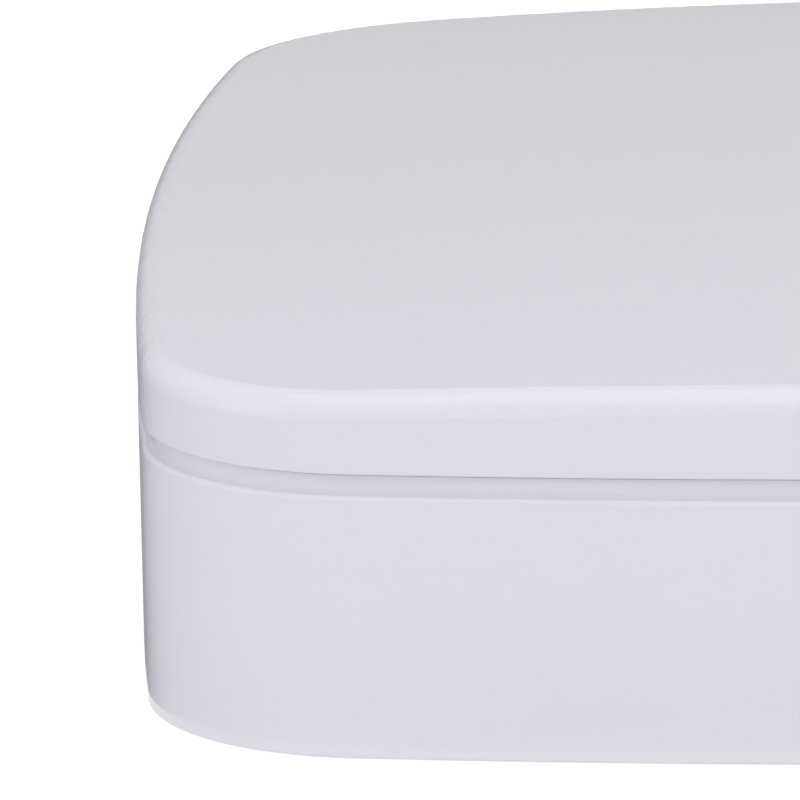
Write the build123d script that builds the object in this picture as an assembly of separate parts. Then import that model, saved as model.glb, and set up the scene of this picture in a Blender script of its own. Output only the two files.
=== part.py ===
"""Square vanity trinket box with bowed sides, a crowned hinged lid and a lined, divided inside.

Frame: +Z up, front of the box towards -Y, origin at the middle of the felt that the box
stands on. Millimetres. Each separate piece is written to parts/NODE.step.
"""

import os
from math import cos, hypot, radians, sin, sqrt

from build123d import *

# ---------------------------------------------------------------- driving dimensions
# Plan of the box: four shallow arcs joined by rounded corners
WIDTH = 200.0
DEPTH = 200.0
SIDE_BOW = 7.5  # how far a side's arc falls back between its middle and the box's corner
CORNER_RADIUS = 26.5
SHARPEST_CORNER = 3.0  # for pieces set in further than the corner's radius
OVERCUT = 1.0  # how far a cut runs past the face that it opens
TOUCHING = 1e-4  # two edges nearer than this are taken as one

# Base
BASE_HEIGHT = 28.5  # visible wall, from its bottom edge to the ledge
WALL = 8.0
NECK_STEP = 0.85  # how far the neck stands in from the wall
NECK_HEIGHT = 2.1
NECK_COVE = 0.25  # hollow fillet between the ledge and the neck
NECK_COVE_MOST = 0.3  # of the neck's step
LEDGE_ROUND = 0.55
LEDGE_ROUND_MOST = 0.66  # of the neck's step
WALL_BOTTOM_ROUND = 0.4
PANEL_THICKNESS = 3.0
PANEL_RECESS = 0.8  # panel's underside above the wall's bottom edge
PANEL_LEDGE = 4.0  # width of the rebate that takes the panel
PANEL_CLEARANCE = 0.15

# Lid
LID_GAP = 0.2  # between the neck and the closed lid
LID_CENTRE_HEIGHT = 12.6
CROWN_RISE = 5.7  # from the plan's outer corner to the middle of the lid
LID_TOP_ROUND = 2.7
LID_RIM_ROUND = 0.25
LID_RECESS = 5.0
LID_OPEN_ANGLE = 100.0

# Felt under the box
FELT_PROUD = 0.4  # below the wall's bottom edge
FELT_INSET = 9.5

# Lining
LINER_THICKNESS = 1.8
LINER_REVEAL = 2.0  # bare neck above the liner
LINER_JOINT = 0.3
LINER_ROUND = 0.6
FIT = 0.2  # gap between a lining piece and what holds it
FLOOR_PAD_THICKNESS = 3.0
FLOOR_PAD_ROUND = 0.8
DIVIDER_THICKNESS = 4.0
DIVIDER_HEIGHT = 18.0
DIVIDER_ROUND = 1.4
ROLL_COUNT = 7
ROLL_WIDTH = 13.2
ROLL_HEIGHT = 12.8
ROLL_ROUND = 6.0
ROLL_GAP = 0.2
FRONT_CELL_WIDTH = 54.0  # open cell beside the ring rolls
BACK_CELL_WIDTH = 56.0  # middle one of the three cells behind

# Mirror
MIRROR_BORDER = 15.0  # padded border round the mirror
MIRROR_THICKNESS = 3.0
MIRROR_BEVEL = 1.2
BACKING_THICKNESS = 0.8
BACKING_INSET = 12.0
BORDER_THICKNESS = 3.8
BORDER_ROUND = 1.2

# Stop hinges
HINGE_SPACING = 104.0  # middle to middle
LEAF_LENGTH = 24.0
LEAF_THICKNESS = 1.0
LEAF_REACH = 5.2  # from the wall's outside to the leaf's inner edge
BARREL_RADIUS = 1.6
BARREL_CLEARANCE = 0.2  # behind the wall
PIN_RADIUS = 0.8
PIN_FIT = 0.02  # in the base leaf's knuckles
PIN_RUNNING = 0.05  # in the lid leaf's knuckle
PIN_HEAD_RADIUS = 1.15
PIN_HEAD_HEIGHT = 0.5
PIN_HEAD_ROUND = 0.4
KNUCKLE_LENGTH = 8.0
KNUCKLE_GAP = 0.1
STOP_REACH = 3.0  # stop lug's outer radius
STOP_WIDTH = 32.0  # stop lug's width, degrees
STOP_CLEARANCE = 0.5  # between the lugs when the lid is fully open, degrees

# Catch and bumpers
MAGNET_RADIUS = 2.5
MAGNET_THICKNESS = 2.0
MAGNET_SPACING = 80.0
POCKET_FIT = 0.05  # round a magnet or a bumper
BUMPER_RADIUS = 2.0
BUMPER_DEPTH = 1.2
BUMPER_PROUD = 0.17
BUMPER_ROUND = 0.12

# Screws: head radius, shank radius, length
HINGE_SCREW = (1.3, 0.7, 6.0)
HINGE_SCREW_SPACING = 15.0
HINGE_SCREW_MARGIN = 0.6  # from the head to the leaf's inner edge
PANEL_SCREW = (2.2, 1.1, 10.0)
SCREW_TIP = 0.3  # share of the length that tapers
SCREW_FIT = 0.05
RECESS_LENGTH = 1.3  # cross recess in a screw's head, as shares of the head's radius
RECESS_WIDTH = 0.3
RECESS_DEPTH = 0.55

# ---------------------------------------------------------------- heights and places
WALL_BOTTOM_Z = FELT_PROUD
LEDGE_Z = WALL_BOTTOM_Z + BASE_HEIGHT
NECK_TOP_Z = LEDGE_Z + NECK_HEIGHT
LID_BOTTOM_Z = NECK_TOP_Z + LID_GAP
LID_TOP_Z = LID_BOTTOM_Z + LID_CENTRE_HEIGHT
PANEL_BOTTOM_Z = WALL_BOTTOM_Z + PANEL_RECESS
PANEL_TOP_Z = PANEL_BOTTOM_Z + PANEL_THICKNESS
FLOOR_Z = PANEL_TOP_Z + FLOOR_PAD_THICKNESS
LINER_TOP_Z = NECK_TOP_Z - LINER_REVEAL
RECESS_TOP_Z = LID_BOTTOM_Z + LID_RECESS
LINED_INSET = WALL + LINER_THICKNESS + 2 * FIT
HINGE_Z = (NECK_TOP_Z + LID_BOTTOM_Z) / 2
EDGE_STRIP_INSET = (WALL + NECK_STEP) / 2  # middle of the neck's top face


def arc_radius(half_chord):
    """Radius of a side's arc that falls back by SIDE_BOW over half a side."""
    return (half_chord**2 + SIDE_BOW**2) / (2 * SIDE_BOW)


END_ARC = arc_radius(WIDTH / 2)  # front and back sides
FLANK_ARC = arc_radius(DEPTH / 2)  # left and right sides


def back_y(x, inset=0.0):
    """Where the back side's arc stands at x; the front is its mirror image."""
    return DEPTH / 2 - END_ARC + sqrt((END_ARC - inset) ** 2 - x**2)


def flank_x(y, inset=0.0):
    """Where the right side's arc stands at y; the left is its mirror image."""
    return WIDTH / 2 - FLANK_ARC + sqrt((FLANK_ARC - inset) ** 2 - y**2)


def corner_centre():
    """Centre of the back right corner's arc, tangent to both sides."""
    back = (0.0, DEPTH / 2 - END_ARC, END_ARC - CORNER_RADIUS)
    flank = (WIDTH / 2 - FLANK_ARC, 0.0, FLANK_ARC - CORNER_RADIUS)
    apart = hypot(flank[0] - back[0], flank[1] - back[1])
    along = (back[2] ** 2 - flank[2] ** 2 + apart**2) / (2 * apart)
    across = sqrt(back[2] ** 2 - along**2)
    ux, uy = (flank[0] - back[0]) / apart, (flank[1] - back[1]) / apart
    return back[0] + along * ux + across * uy, back[1] + along * uy - across * ux


CORNER_X, CORNER_Y = corner_centre()

INNER_BACK_Y = DEPTH / 2 - LINED_INSET
HINGE_OUTER_X = HINGE_SPACING / 2 + LEAF_LENGTH / 2
HINGE_INNER_X = HINGE_SPACING / 2 - LEAF_LENGTH / 2
HINGE_Y = back_y(HINGE_INNER_X) + BARREL_RADIUS + BARREL_CLEARANCE
LEAF_FRONT_Y = back_y(HINGE_SPACING / 2) - LEAF_REACH
HINGE_SCREW_Y = LEAF_FRONT_Y + HINGE_SCREW[0] + HINGE_SCREW_MARGIN

# Cells: the ring rolls fill the front left, from the front liner to the long divider
ROLL_ZONE_FRONT_Y = -INNER_BACK_Y
ROLL_ZONE_BACK_Y = ROLL_ZONE_FRONT_Y + ROLL_COUNT * (ROLL_WIDTH + ROLL_GAP)
LONG_DIVIDER_Y = ROLL_ZONE_BACK_Y + ROLL_GAP + DIVIDER_THICKNESS / 2
FRONT_DIVIDER_X = WIDTH / 2 - LINED_INSET - FRONT_CELL_WIDTH - DIVIDER_THICKNESS / 2
BACK_DIVIDER_X = (BACK_CELL_WIDTH + DIVIDER_THICKNESS) / 2


# ---------------------------------------------------------------- shared shapes
def plan(inset=0.0):
    """Face of the box's plan, set in evenly from the outside."""
    face = Pos(0, DEPTH / 2 - END_ARC) * Circle(END_ARC - inset)
    face &= Pos(0, END_ARC - DEPTH / 2) * Circle(END_ARC - inset)
    face &= Pos(WIDTH / 2 - FLANK_ARC, 0) * Circle(FLANK_ARC - inset)
    face &= Pos(FLANK_ARC - WIDTH / 2, 0) * Circle(FLANK_ARC - inset)
    return fillet(face.vertices(), max(CORNER_RADIUS - inset, SHARPEST_CORNER))


def slab(inset, low_z, high_z):
    """The plan, set in, as a solid between two heights."""
    return Pos(0, 0, low_z) * extrude(plan(inset), high_z - low_z)


def block(x0, x1, y0, y1, z0, z1):
    """A box given by its limits."""
    middle = Pos((x0 + x1) / 2, (y0 + y1) / 2, (z0 + z1) / 2)
    return middle * Box(x1 - x0, y1 - y0, z1 - z0)


def rod(radius, x0, x1, y=HINGE_Y, z=HINGE_Z):
    """A cylinder along X between x0 and x1."""
    return Pos((x0 + x1) / 2, y, z) * Rot(0, 90, 0) * Cylinder(radius, x1 - x0)


def disc(radius, x, y, low_z, high_z):
    """An upright cylinder between two heights."""
    return Pos(x, y, (low_z + high_z) / 2) * Cylinder(radius, high_z - low_z)


def edges_at(solid, z):
    """Edges that lie wholly in the plane at height z."""
    return [e for e in solid.edges() if all(abs(p.Z - z) < TOUCHING for p in (e @ 0, e @ 0.5, e @ 1))]


def outline_edges(solid, inset, z):
    """Edges at height z that follow the plan's outline, set in from the outside."""
    outline = Pos(0, 0, z) * plan(inset).face().outer_wire()
    return [e for e in edges_at(solid, z) if outline.distance_to(e @ 0.5) < TOUCHING]


def screw(size):
    """A countersunk wood screw with a cross recess: head's face at z 0, shank downwards."""
    head, shank, length = size
    cone = head - shank
    tip = length * (1 - SCREW_TIP)
    profile = Polyline((0, 0), (head, 0), (shank, -cone), (shank, -tip), (0, -length), close=True)
    body = revolve(make_face(Plane.XZ * profile), Axis.Z)
    slot = Box(RECESS_LENGTH * head, RECESS_WIDTH * head, 2 * RECESS_DEPTH * head)
    return body - slot - Rot(0, 0, 90) * slot


def screw_hole(size):
    """What a screw takes out of the pieces it passes through, with its fit."""
    head, shank, length = size
    wide, narrow = head + SCREW_FIT, shank + SCREW_FIT
    cone = wide - narrow
    profile = Polyline((0, 0), (wide, 0), (narrow, -cone), (narrow, -length), (0, -length), close=True)
    return revolve(make_face(Plane.XZ * profile), Axis.Z)


def corner_places(inset):
    """Points on the four corners' diagonals, set in from the corner's arc."""
    reach = (CORNER_RADIUS - inset) * sqrt(0.5)
    x, y = CORNER_X + reach, CORNER_Y + reach
    return [(-x, -y), (x, -y), (-x, y), (x, y)]


def hinge_screw_places():
    """x of each hinge's screws."""
    half = HINGE_SCREW_SPACING / 2
    return {
        side: [sign * HINGE_SPACING / 2 - half, sign * HINGE_SPACING / 2 + half]
        for side, sign in (("left", -1), ("right", 1))
    }


def panel_screw_places():
    """Eight places on the rebate: two on each side of the box."""
    inset = (WALL + PANEL_LEDGE) / 2
    x, y = WIDTH / 4, DEPTH / 4
    places = []
    for sx in (-1, 1):
        for sy in (-1, 1):
            places.append((sx * x, sy * back_y(x, inset)))
            places.append((sx * flank_x(y, inset), sy * y))
    return places


def magnet_places():
    """x and y of the catch magnets, on the middle of the front neck."""
    x = MAGNET_SPACING / 2
    return {
        "left": (-x, -back_y(x, EDGE_STRIP_INSET)),
        "right": (x, -back_y(x, EDGE_STRIP_INSET)),
    }


# ---------------------------------------------------------------- base
def leaf_mortise(side_sign, low_z, high_z):
    """Shallow pocket for a hinge leaf, open at the back."""
    x = side_sign * HINGE_SPACING / 2
    half = LEAF_LENGTH / 2
    return block(x - half, x + half, LEAF_FRONT_Y, HINGE_Y, low_z, high_z)


def base_shell():
    """Lacquered wall with its neck, panel rebate, hinge mortises, magnet and bumper pockets."""
    wall = slab(0, WALL_BOTTOM_Z, LEDGE_Z)
    wall = fillet(edges_at(wall, WALL_BOTTOM_Z), WALL_BOTTOM_ROUND)
    shell = wall + slab(NECK_STEP, LEDGE_Z - OVERCUT, NECK_TOP_Z)
    shell = fillet(outline_edges(shell, 0, LEDGE_Z), min(LEDGE_ROUND, LEDGE_ROUND_MOST * NECK_STEP))
    shell = fillet(outline_edges(shell, NECK_STEP, LEDGE_Z), min(NECK_COVE, NECK_COVE_MOST * NECK_STEP))
    shell -= slab(WALL, WALL_BOTTOM_Z - OVERCUT, NECK_TOP_Z + OVERCUT)
    shell -= slab(PANEL_LEDGE, WALL_BOTTOM_Z - OVERCUT, PANEL_TOP_Z)
    for sign in (-1, 1):
        shell -= leaf_mortise(sign, NECK_TOP_Z - LEAF_THICKNESS, NECK_TOP_Z + OVERCUT)
    for xs in hinge_screw_places().values():
        for x in xs:
            shell -= Pos(x, HINGE_SCREW_Y, NECK_TOP_Z) * screw_hole(HINGE_SCREW)
    high_z = NECK_TOP_Z + OVERCUT
    for x, y in magnet_places().values():
        shell -= disc(MAGNET_RADIUS + POCKET_FIT, x, y, NECK_TOP_Z - MAGNET_THICKNESS, high_z)
    for x, y in corner_places(EDGE_STRIP_INSET):
        shell -= disc(BUMPER_RADIUS + POCKET_FIT, x, y, NECK_TOP_Z - BUMPER_DEPTH, high_z)
    for x, y in panel_screw_places():
        shell -= Pos(x, y, PANEL_BOTTOM_Z) * Rot(180, 0, 0) * screw_hole(PANEL_SCREW)
    return shell


def bottom_panel():
    """Fibreboard floor, screwed up into the wall's rebate."""
    panel = slab(PANEL_LEDGE + PANEL_CLEARANCE, PANEL_BOTTOM_Z, PANEL_TOP_Z)
    for x, y in panel_screw_places():
        panel -= Pos(x, y, PANEL_BOTTOM_Z) * Rot(180, 0, 0) * screw_hole(PANEL_SCREW)
    return panel


def underside_felt():
    """Felt sheet glued under the bottom panel, which the box stands on."""
    return slab(FELT_INSET, 0, PANEL_BOTTOM_Z)


# ---------------------------------------------------------------- lining
def wall_liner():
    """Covered strip bent round the inside of the wall, its ends meeting at the back."""
    outer, inner = WALL + FIT, WALL + FIT + LINER_THICKNESS
    strip = slab(outer, PANEL_TOP_Z, LINER_TOP_Z)
    strip -= slab(inner, PANEL_TOP_Z - OVERCUT, LINER_TOP_Z + OVERCUT)
    strip = fillet(edges_at(strip, LINER_TOP_Z), LINER_ROUND)
    half = LINER_JOINT / 2
    return strip - block(-half, half, 0, DEPTH, 0, LINER_TOP_Z + OVERCUT)


def floor_pad():
    """Covered board that lies on the bottom panel."""
    pad = slab(LINED_INSET, PANEL_TOP_Z, FLOOR_Z)
    return fillet(edges_at(pad, FLOOR_Z), FLOOR_PAD_ROUND)


def lined_space(low_z, high_z):
    """The room inside the wall liner."""
    return slab(LINED_INSET, low_z, high_z)


def divider(x0, x1, y0, y1):
    """Upright covered board, cut to the curved walls, with its top edges rounded."""
    top_z = FLOOR_Z + DIVIDER_HEIGHT
    board = block(x0, x1, y0, y1, FLOOR_Z, top_z) & lined_space(FLOOR_Z, top_z)
    long_edges = sorted(edges_at(board, top_z), key=lambda e: e.length)[-2:]
    return fillet(long_edges, DIVIDER_ROUND)


def dividers():
    """Long divider across the box, one in front of it and two behind."""
    half = DIVIDER_THICKNESS / 2
    long_front_y, long_back_y = LONG_DIVIDER_Y - half, LONG_DIVIDER_Y + half
    boards = {
        "divider_long": divider(-WIDTH, WIDTH, long_front_y, long_back_y),
        "divider_front": divider(FRONT_DIVIDER_X - half, FRONT_DIVIDER_X + half, -DEPTH, long_front_y),
    }
    for side, x in (("left", -BACK_DIVIDER_X), ("right", BACK_DIVIDER_X)):
        boards[f"divider_back_{side}"] = divider(x - half, x + half, long_back_y, DEPTH)
    return boards


def ring_roll(index):
    """One padded ring roll, lying across the front left cell, counted from the front."""
    y0 = ROLL_ZONE_FRONT_Y + index * (ROLL_WIDTH + ROLL_GAP)
    right = FRONT_DIVIDER_X - DIVIDER_THICKNESS / 2 - FIT
    top_z = FLOOR_Z + ROLL_HEIGHT
    body = block(-WIDTH, right, y0, y0 + ROLL_WIDTH, FLOOR_Z, top_z)
    crown = [e for e in edges_at(body, top_z) if abs((e % 0.5).X) > 0.5]
    body = fillet(crown, ROLL_ROUND)
    return body & lined_space(FLOOR_Z, top_z)


# ---------------------------------------------------------------- lid
def lid_panel():
    """Crowned lid, flush with the wall, with a recess for the mirror and its border."""
    far = hypot(WIDTH / 2, DEPTH / 2)
    crown = (far**2 + CROWN_RISE**2) / (2 * CROWN_RISE)
    blank = slab(0, LID_BOTTOM_Z, LID_TOP_Z + OVERCUT)
    blank &= Pos(0, 0, LID_TOP_Z - crown) * Sphere(crown)
    top = blank.faces().sort_by(Axis.Z)[-1]
    blank = fillet(top.edges(), LID_TOP_ROUND)
    blank = fillet(edges_at(blank, LID_BOTTOM_Z), LID_RIM_ROUND)
    low_z = LID_BOTTOM_Z - OVERCUT
    lid = blank - slab(WALL, low_z, RECESS_TOP_Z)
    for sign in (-1, 1):
        lid -= leaf_mortise(sign, low_z, LID_BOTTOM_Z + LEAF_THICKNESS)
    for xs in hinge_screw_places().values():
        for x in xs:
            lid -= Pos(x, HINGE_SCREW_Y, LID_BOTTOM_Z) * Rot(180, 0, 0) * screw_hole(HINGE_SCREW)
    for x, y in magnet_places().values():
        lid -= disc(MAGNET_RADIUS + POCKET_FIT, x, y, low_z, LID_BOTTOM_Z + MAGNET_THICKNESS)
    return lid


def lid_border():
    """Padded border in the lid's recess, round the mirror."""
    low_z = RECESS_TOP_Z - BORDER_THICKNESS
    border = slab(WALL + FIT, low_z, RECESS_TOP_Z)
    border -= slab(WALL + MIRROR_BORDER, low_z - OVERCUT, RECESS_TOP_Z + OVERCUT)
    return fillet(edges_at(border, low_z), BORDER_ROUND)


def mirror():
    """Glass plate with a bevelled edge, facing down into the box."""
    low_z = RECESS_TOP_Z - BACKING_THICKNESS - MIRROR_THICKNESS
    glass = slab(WALL + MIRROR_BORDER + FIT, low_z, RECESS_TOP_Z - BACKING_THICKNESS)
    return chamfer(edges_at(glass, low_z), MIRROR_BEVEL)


def mirror_backing():
    """Foam tape sheet that holds the mirror to the lid."""
    inset = WALL + MIRROR_BORDER + BACKING_INSET
    return slab(inset, RECESS_TOP_Z - BACKING_THICKNESS, RECESS_TOP_Z)


# ---------------------------------------------------------------- hinges
def stop_lug(start_angle, x0, x1, inner_radius):
    """Ring segment about the pin, from start_angle towards the wall side, STOP_WIDTH wide.

    Angles are from straight back (+Y), positive upwards.
    """
    turn = 1 if start_angle > 0 else -1
    end_angle = start_angle + turn * STOP_WIDTH
    reach = 2 * STOP_REACH
    corners = [(0.0, 0.0)]
    for angle in (start_angle, (start_angle + end_angle) / 2, end_angle):
        corners.append((reach * cos(radians(angle)), reach * sin(radians(angle))))
    wedge = extrude(make_face(Plane.YZ * Polyline(*corners, close=True)), x1 - x0)
    ring = rod(STOP_REACH, x0, x1) - rod(inner_radius, x0 - OVERCUT, x1 + OVERCUT)
    return ring & Pos(x0, HINGE_Y, HINGE_Z) * wedge


def knuckle_spans(middle_x):
    """x limits of the two base knuckles and of the lid knuckle between them."""
    half, inner = LEAF_LENGTH / 2, KNUCKLE_LENGTH / 2
    base = [
        (middle_x - half, middle_x - inner - KNUCKLE_GAP),
        (middle_x + inner + KNUCKLE_GAP, middle_x + half),
    ]
    return base, (middle_x - inner, middle_x + inner)


def leaf_plate(middle_x, low_z, spans):
    """Flat of a leaf inside its mortise, with tongues that run out to its knuckles."""
    high_z = low_z + LEAF_THICKNESS
    half = LEAF_LENGTH / 2
    neck_y = back_y(HINGE_OUTER_X)
    plate = block(middle_x - half, middle_x + half, LEAF_FRONT_Y, neck_y, low_z, high_z)
    for x0, x1 in spans:
        plate += block(x0, x1, neck_y - OVERCUT, HINGE_Y, low_z, high_z)
    return plate


def base_leaf(middle_x):
    """Leaf in the neck's mortise, with the outer knuckles and the lower stop bar."""
    spans, _ = knuckle_spans(middle_x)
    leaf = leaf_plate(middle_x, NECK_TOP_Z - LEAF_THICKNESS, spans)
    half = LEAF_LENGTH / 2
    start = -(LID_OPEN_ANGLE + STOP_CLEARANCE) / 2
    bar = stop_lug(start, middle_x - half, middle_x + half, BARREL_RADIUS + KNUCKLE_GAP)
    for x0, x1 in spans:
        leaf += rod(BARREL_RADIUS, x0, x1)
        leaf += stop_lug(start, x0, x1, PIN_RADIUS)
    leaf += bar
    leaf -= rod(PIN_RADIUS + PIN_FIT, middle_x - LEAF_LENGTH, middle_x + LEAF_LENGTH)
    for x in (middle_x - HINGE_SCREW_SPACING / 2, middle_x + HINGE_SCREW_SPACING / 2):
        leaf -= Pos(x, HINGE_SCREW_Y, NECK_TOP_Z) * screw_hole(HINGE_SCREW)
    return leaf


def lid_leaf(middle_x):
    """Leaf in the lid's mortise, with the middle knuckle and the upper stop lug."""
    _, lid_span = knuckle_spans(middle_x)
    x0, x1 = lid_span
    leaf = leaf_plate(middle_x, LID_BOTTOM_Z, [lid_span])
    leaf += rod(BARREL_RADIUS, x0, x1)
    start = (LID_OPEN_ANGLE + STOP_CLEARANCE) / 2
    leaf += stop_lug(start, x0, x1, PIN_RADIUS)
    leaf -= rod(PIN_RADIUS + PIN_RUNNING, x0 - OVERCUT, x1 + OVERCUT)
    for x in (middle_x - HINGE_SCREW_SPACING / 2, middle_x + HINGE_SCREW_SPACING / 2):
        leaf -= Pos(x, HINGE_SCREW_Y, LID_BOTTOM_Z) * Rot(180, 0, 0) * screw_hole(HINGE_SCREW)
    return leaf


def hinge_pin(middle_x):
    """Pin with a domed head at each end."""
    half = LEAF_LENGTH / 2
    pin = rod(PIN_RADIUS, middle_x - half, middle_x + half)
    for end in (-1, 1):
        x = middle_x + end * (half + PIN_HEAD_HEIGHT / 2)
        head = rod(PIN_HEAD_RADIUS, x - PIN_HEAD_HEIGHT / 2, x + PIN_HEAD_HEIGHT / 2)
        rim = head.edges().sort_by(Axis.X)[-1 if end > 0 else 0]
        pin += fillet(rim, PIN_HEAD_ROUND)
    return pin


# ---------------------------------------------------------------- small fittings
def hinge_screws(z, flip):
    """The four screws of one pair of leaves, as separate solids."""
    turned = Rot(180, 0, 0) if flip else Rot(0, 0, 0)
    return [
        Pos(x, HINGE_SCREW_Y, z) * turned * screw(HINGE_SCREW)
        for xs in hinge_screw_places().values()
        for x in xs
    ]


def panel_screws():
    """The eight screws that hold the bottom panel."""
    return [Pos(x, y, PANEL_BOTTOM_Z) * Rot(180, 0, 0) * screw(PANEL_SCREW) for x, y in panel_screw_places()]


def bumpers():
    """Clear dots let into the neck's corners, which the closed lid rests on."""
    low_z, high_z = NECK_TOP_Z - BUMPER_DEPTH, NECK_TOP_Z + BUMPER_PROUD
    dots = []
    for x, y in corner_places(EDGE_STRIP_INSET):
        dot = disc(BUMPER_RADIUS, x, y, low_z, high_z)
        dots.append(fillet(edges_at(dot, high_z), BUMPER_ROUND))
    return dots


def all_parts():
    """Every node of the box by name."""
    parts = {
        "base_shell": base_shell(),
        "bottom_panel": bottom_panel(),
        "bottom_panel_screws": Compound(panel_screws()),
        "underside_felt": underside_felt(),
        "wall_liner": wall_liner(),
        "floor_pad": floor_pad(),
        "closing_bumpers": Compound(bumpers()),
        "base_hinge_screws": Compound(hinge_screws(NECK_TOP_Z, False)),
        "lid_panel": lid_panel(),
        "lid_border": lid_border(),
        "mirror": mirror(),
        "mirror_backing": mirror_backing(),
        "lid_hinge_screws": Compound(hinge_screws(LID_BOTTOM_Z, True)),
    }
    parts.update(dividers())
    for index in range(ROLL_COUNT):
        parts[f"ring_roll_{index + 1}"] = ring_roll(index)
    for side, sign in (("left", -1), ("right", 1)):
        x = sign * HINGE_SPACING / 2
        parts[f"hinge_{side}_base_leaf"] = base_leaf(x)
        parts[f"hinge_{side}_lid_leaf"] = lid_leaf(x)
        parts[f"hinge_{side}_pin"] = hinge_pin(x)
    low_z = NECK_TOP_Z - MAGNET_THICKNESS
    high_z = LID_BOTTOM_Z + MAGNET_THICKNESS
    for side, (x, y) in magnet_places().items():
        parts[f"base_magnet_{side}"] = disc(MAGNET_RADIUS, x, y, low_z, NECK_TOP_Z)
        parts[f"lid_magnet_{side}"] = disc(MAGNET_RADIUS, x, y, LID_BOTTOM_Z, high_z)
    return parts


def main():
    os.makedirs("parts", exist_ok=True)
    for name, shape in all_parts().items():
        export_step(shape, f"parts/{name}.step")
        print(name, [round(v, 2) for v in shape.bounding_box().size])
    print("hinge axis y, z", round(HINGE_Y, 4), round(HINGE_Z, 4))


main()
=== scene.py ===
# %% [markdown]
# # A white lacquered trinket box
# The box is a square with four gently bowed sides: a crowned lid over a straight wall, with a fine
# shadow line between them. The wood, the hinges, the magnets and the screws come from the CAD
# model exactly as they are, and this file gives them their finish. The velvet inside is made here,
# because a pad that was only drawn as a plain solid never looks soft.

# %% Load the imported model
from math import atan2, cos, pi, radians, sin, sqrt

import bpy
import numpy as np
from mathutils import Matrix, Quaternion, Vector, noise


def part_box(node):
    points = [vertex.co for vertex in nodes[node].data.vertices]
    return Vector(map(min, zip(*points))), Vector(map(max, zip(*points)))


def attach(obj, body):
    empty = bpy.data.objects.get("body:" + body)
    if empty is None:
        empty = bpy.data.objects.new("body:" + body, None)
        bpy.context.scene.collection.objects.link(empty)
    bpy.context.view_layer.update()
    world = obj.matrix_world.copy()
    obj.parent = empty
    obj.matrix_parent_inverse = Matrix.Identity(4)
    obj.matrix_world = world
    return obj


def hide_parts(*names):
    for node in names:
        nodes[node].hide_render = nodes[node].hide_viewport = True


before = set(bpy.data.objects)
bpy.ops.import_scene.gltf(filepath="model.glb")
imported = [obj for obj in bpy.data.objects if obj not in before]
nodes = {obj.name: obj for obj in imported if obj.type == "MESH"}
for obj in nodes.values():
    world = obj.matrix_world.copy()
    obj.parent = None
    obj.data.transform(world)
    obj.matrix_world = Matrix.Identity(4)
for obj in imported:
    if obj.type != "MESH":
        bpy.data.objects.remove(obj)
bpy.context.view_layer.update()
MM = 0.001

# %% [markdown]
# ## Node helpers
# Every finish below is a chain of shader nodes. Small helpers keep the recipes short: one adds a
# node and sets its sockets by name, one starts a material and one starts a node group. The others
# stand for steps that every finish takes: clouds of noise, a blend of two colours, a value that
# moves between two limits, and a relief that tilts the surface.

# %% Helpers for shader nodes
def add(tree, kind, inputs=None, **settings):
    """Adds a node; an input is a plain value, or an output socket to link from."""
    node = tree.nodes.new(kind)
    for name, value in settings.items():
        setattr(node, name, value)
    for name, value in (inputs or {}).items():
        if isinstance(value, bpy.types.NodeSocket):
            tree.links.new(value, node.inputs[name])
        else:
            node.inputs[name].default_value = value
    return node


def calc(tree, operation, a, b, clamp=False):
    """One step of arithmetic between two values or sockets."""
    return add(tree, "ShaderNodeMath", {0: a, 1: b}, operation=operation, use_clamp=clamp).outputs[0]


def clouds(tree, place, scale, detail, **more):
    """Smooth noise over the piece, as a value from 0 to 1."""
    inputs = {"Vector": place, "Scale": scale, "Detail": detail, **more}
    return add(tree, "ShaderNodeTexNoise", inputs).outputs["Fac"]


def blend(tree, share, first, second):
    """A colour that goes from the first to the second as share goes from 0 to 1."""
    return add(tree, "ShaderNodeMix", {0: share, 6: first, 7: second}, data_type="RGBA").outputs[2]


def between(tree, share, low, high):
    """A value that goes from low to high as share goes from 0 to 1."""
    return add(tree, "ShaderNodeMapRange", {"Value": share, "To Min": low, "To Max": high}).outputs[0]


def stretched(tree, value, low, high):
    """Spreads the values from low to high over the whole of 0 to 1."""
    inputs = {"Value": value, "From Min": low, "From Max": high}
    return add(tree, "ShaderNodeMapRange", inputs).outputs[0]


def relief(tree, height, strength, depth):
    """The surface's normal, tilted by a height that changes over the surface."""
    inputs = {"Height": height, "Strength": strength, "Distance": depth}
    return add(tree, "ShaderNodeBump", inputs).outputs["Normal"]


print("node helpers ready")


# %% Helpers for materials and groups
def new_material(name):
    """An empty material with a Principled shader on its output."""
    material = bpy.data.materials.new(name)
    material.use_nodes = True
    tree = material.node_tree
    tree.nodes.clear()
    shader = add(tree, "ShaderNodeBsdfPrincipled")
    add(tree, "ShaderNodeOutputMaterial", {"Surface": shader.outputs["BSDF"]})
    return material, tree, shader


def dress(tree, shader, changing, plain=None):
    """Links what changes over the surface, and sets what is the same all over on the shader."""
    for name, socket in changing.items():
        tree.links.new(socket, shader.inputs[name])
    for name, value in (plain or {}).items():
        shader.inputs[name].default_value = value


def new_group(name, inputs, outputs):
    """A node group with number sockets: inputs as (name, default) pairs, outputs as names."""
    tree = bpy.data.node_groups.new(name, "ShaderNodeTree")
    for label, default in inputs:
        socket = tree.interface.new_socket(label, in_out="INPUT", socket_type="NodeSocketFloat")
        socket.default_value = default
    for label in outputs:
        tree.interface.new_socket(label, in_out="OUTPUT", socket_type="NodeSocketFloat")
    given = add(tree, "NodeGroupInput").outputs
    result = add(tree, "NodeGroupOutput").inputs
    return tree, given, result


def use_group(tree, group, **values):
    """Places a node group in a material, with values for its inputs, and gives its outputs."""
    node = add(tree, "ShaderNodeGroup", node_tree=group)
    for name, value in values.items():
        node.inputs[name.replace("_", " ")].default_value = value
    return node.outputs


print("material helpers ready")

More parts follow.
